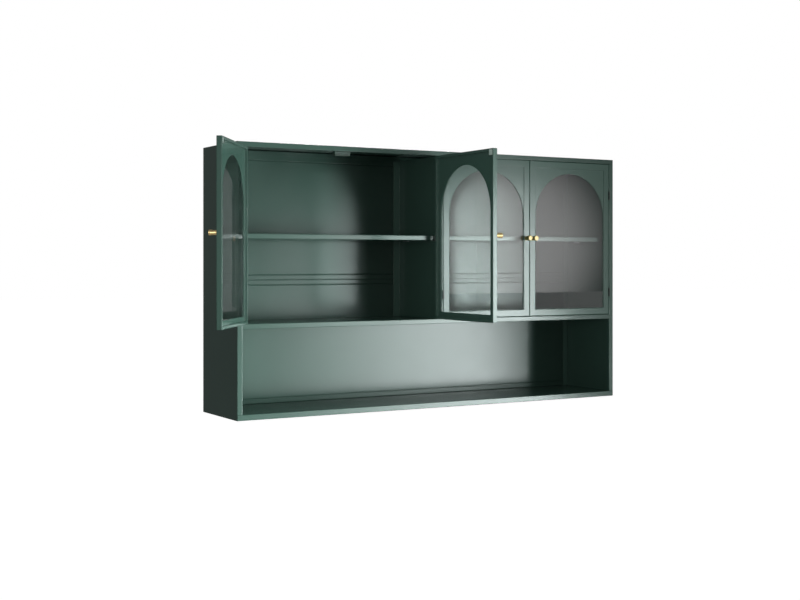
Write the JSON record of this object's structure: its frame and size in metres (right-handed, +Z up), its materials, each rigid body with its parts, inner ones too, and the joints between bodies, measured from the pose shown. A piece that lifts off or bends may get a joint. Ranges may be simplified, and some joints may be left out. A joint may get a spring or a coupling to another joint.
{
  "type": "wall cabinet",
  "caption": "Wall cabinet of folded sheet steel: shelves behind inset arched glass doors on knuckle hinges with round knobs and magnetic catches, above an open bay.",
  "frame": {"origin": "middle of the back face, on the line where the wall screws carry the four keyholes, 40 mm below the top", "axes": "+Z up, +Y into the wall, so the doors face -Y, and +X to the right of someone who faces the doors"},
  "size_m": [1.7052, 0.6502, 0.875],
  "materials": {
    "powder_coat": "satin green powder coat",
    "door_glass": "clear",
    "knob_brass": "polished",
    "hinge_steel": "zinc plated",
    "catch_plastic": "moulded",
    "magnet_steel": "nickel plated"
  },
  "bodies": {
    "carcass": {"left_side_panel": "powder_coat", "right_side_panel": "powder_coat", "top_panel": "powder_coat", "bottom_panel": "powder_coat", "deck_panel": "powder_coat", "centre_partition": "powder_coat", "back_panel_upper": "powder_coat", "back_panel_lower": "powder_coat", "left_shelf": "powder_coat", "right_shelf": "powder_coat", "left_shelf_front_left_clip": "hinge_steel", "left_shelf_front_right_clip": "hinge_steel", "left_shelf_rear_left_clip": "hinge_steel", "left_shelf_rear_right_clip": "hinge_steel", "right_shelf_front_left_clip": "hinge_steel", "right_shelf_front_right_clip": "hinge_steel", "right_shelf_rear_left_clip": "hinge_steel", "right_shelf_rear_right_clip": "hinge_steel", "left_catch_housing": "catch_plastic", "left_catch_left_magnet": "magnet_steel", "left_catch_right_magnet": "magnet_steel", "right_catch_housing": "catch_plastic", "right_catch_left_magnet": "magnet_steel", "right_catch_right_magnet": "magnet_steel", "left_outer_upper_hinge_frame_leaf": "hinge_steel", "left_outer_lower_hinge_frame_leaf": "hinge_steel", "left_inner_upper_hinge_frame_leaf": "hinge_steel", "left_inner_lower_hinge_frame_leaf": "hinge_steel", "right_inner_upper_hinge_frame_leaf": "hinge_steel", "right_inner_lower_hinge_frame_leaf": "hinge_steel", "right_outer_upper_hinge_frame_leaf": "hinge_steel", "right_outer_lower_hinge_frame_leaf": "hinge_steel"},
    "left_outer_door": {"left_outer_door_shell": "powder_coat", "left_outer_door_glass": "door_glass", "left_outer_door_back": "powder_coat", "left_outer_door_knob": "knob_brass", "left_outer_door_strike": "magnet_steel", "left_outer_upper_hinge_door_leaf": "hinge_steel", "left_outer_lower_hinge_door_leaf": "hinge_steel"},
    "left_inner_door": {"left_inner_door_shell": "powder_coat", "left_inner_door_glass": "door_glass", "left_inner_door_back": "powder_coat", "left_inner_door_knob": "knob_brass", "left_inner_door_strike": "magnet_steel", "left_inner_upper_hinge_door_leaf": "hinge_steel", "left_inner_lower_hinge_door_leaf": "hinge_steel"},
    "right_inner_door": {"right_inner_door_shell": "powder_coat", "right_inner_door_glass": "door_glass", "right_inner_door_back": "powder_coat", "right_inner_door_knob": "knob_brass", "right_inner_door_strike": "magnet_steel", "right_inner_upper_hinge_door_leaf": "hinge_steel", "right_inner_lower_hinge_door_leaf": "hinge_steel"},
    "right_outer_door": {"right_outer_door_shell": "powder_coat", "right_outer_door_glass": "door_glass", "right_outer_door_back": "powder_coat", "right_outer_door_knob": "knob_brass", "right_outer_door_strike": "magnet_steel", "right_outer_upper_hinge_door_leaf": "hinge_steel", "right_outer_lower_hinge_door_leaf": "hinge_steel"}
  },
  "joints": [
    {"name": "left_outer_door_swing", "type": "hinge", "parent": "carcass", "child": "left_outer_door", "pos_m": [-0.7314, -0.29, -0.25], "axis": [0, 0, -1], "range_deg": [-125, 40]},
    {"name": "left_inner_door_swing", "type": "hinge", "parent": "carcass", "child": "left_inner_door", "pos_m": [-0.0096, -0.29, -0.25], "axis": [0, 0, 1], "range_deg": [-89, 1]},
    {"name": "right_inner_door_swing", "type": "hinge", "parent": "carcass", "child": "right_inner_door", "pos_m": [0.0096, -0.29, -0.25], "axis": [0, 0, -1], "range_deg": [0, 82]},
    {"name": "right_outer_door_swing", "type": "hinge", "parent": "carcass", "child": "right_outer_door", "pos_m": [0.7314, -0.29, -0.25], "axis": [0, 0, 1], "range_deg": [0, 165]}
  ]
}
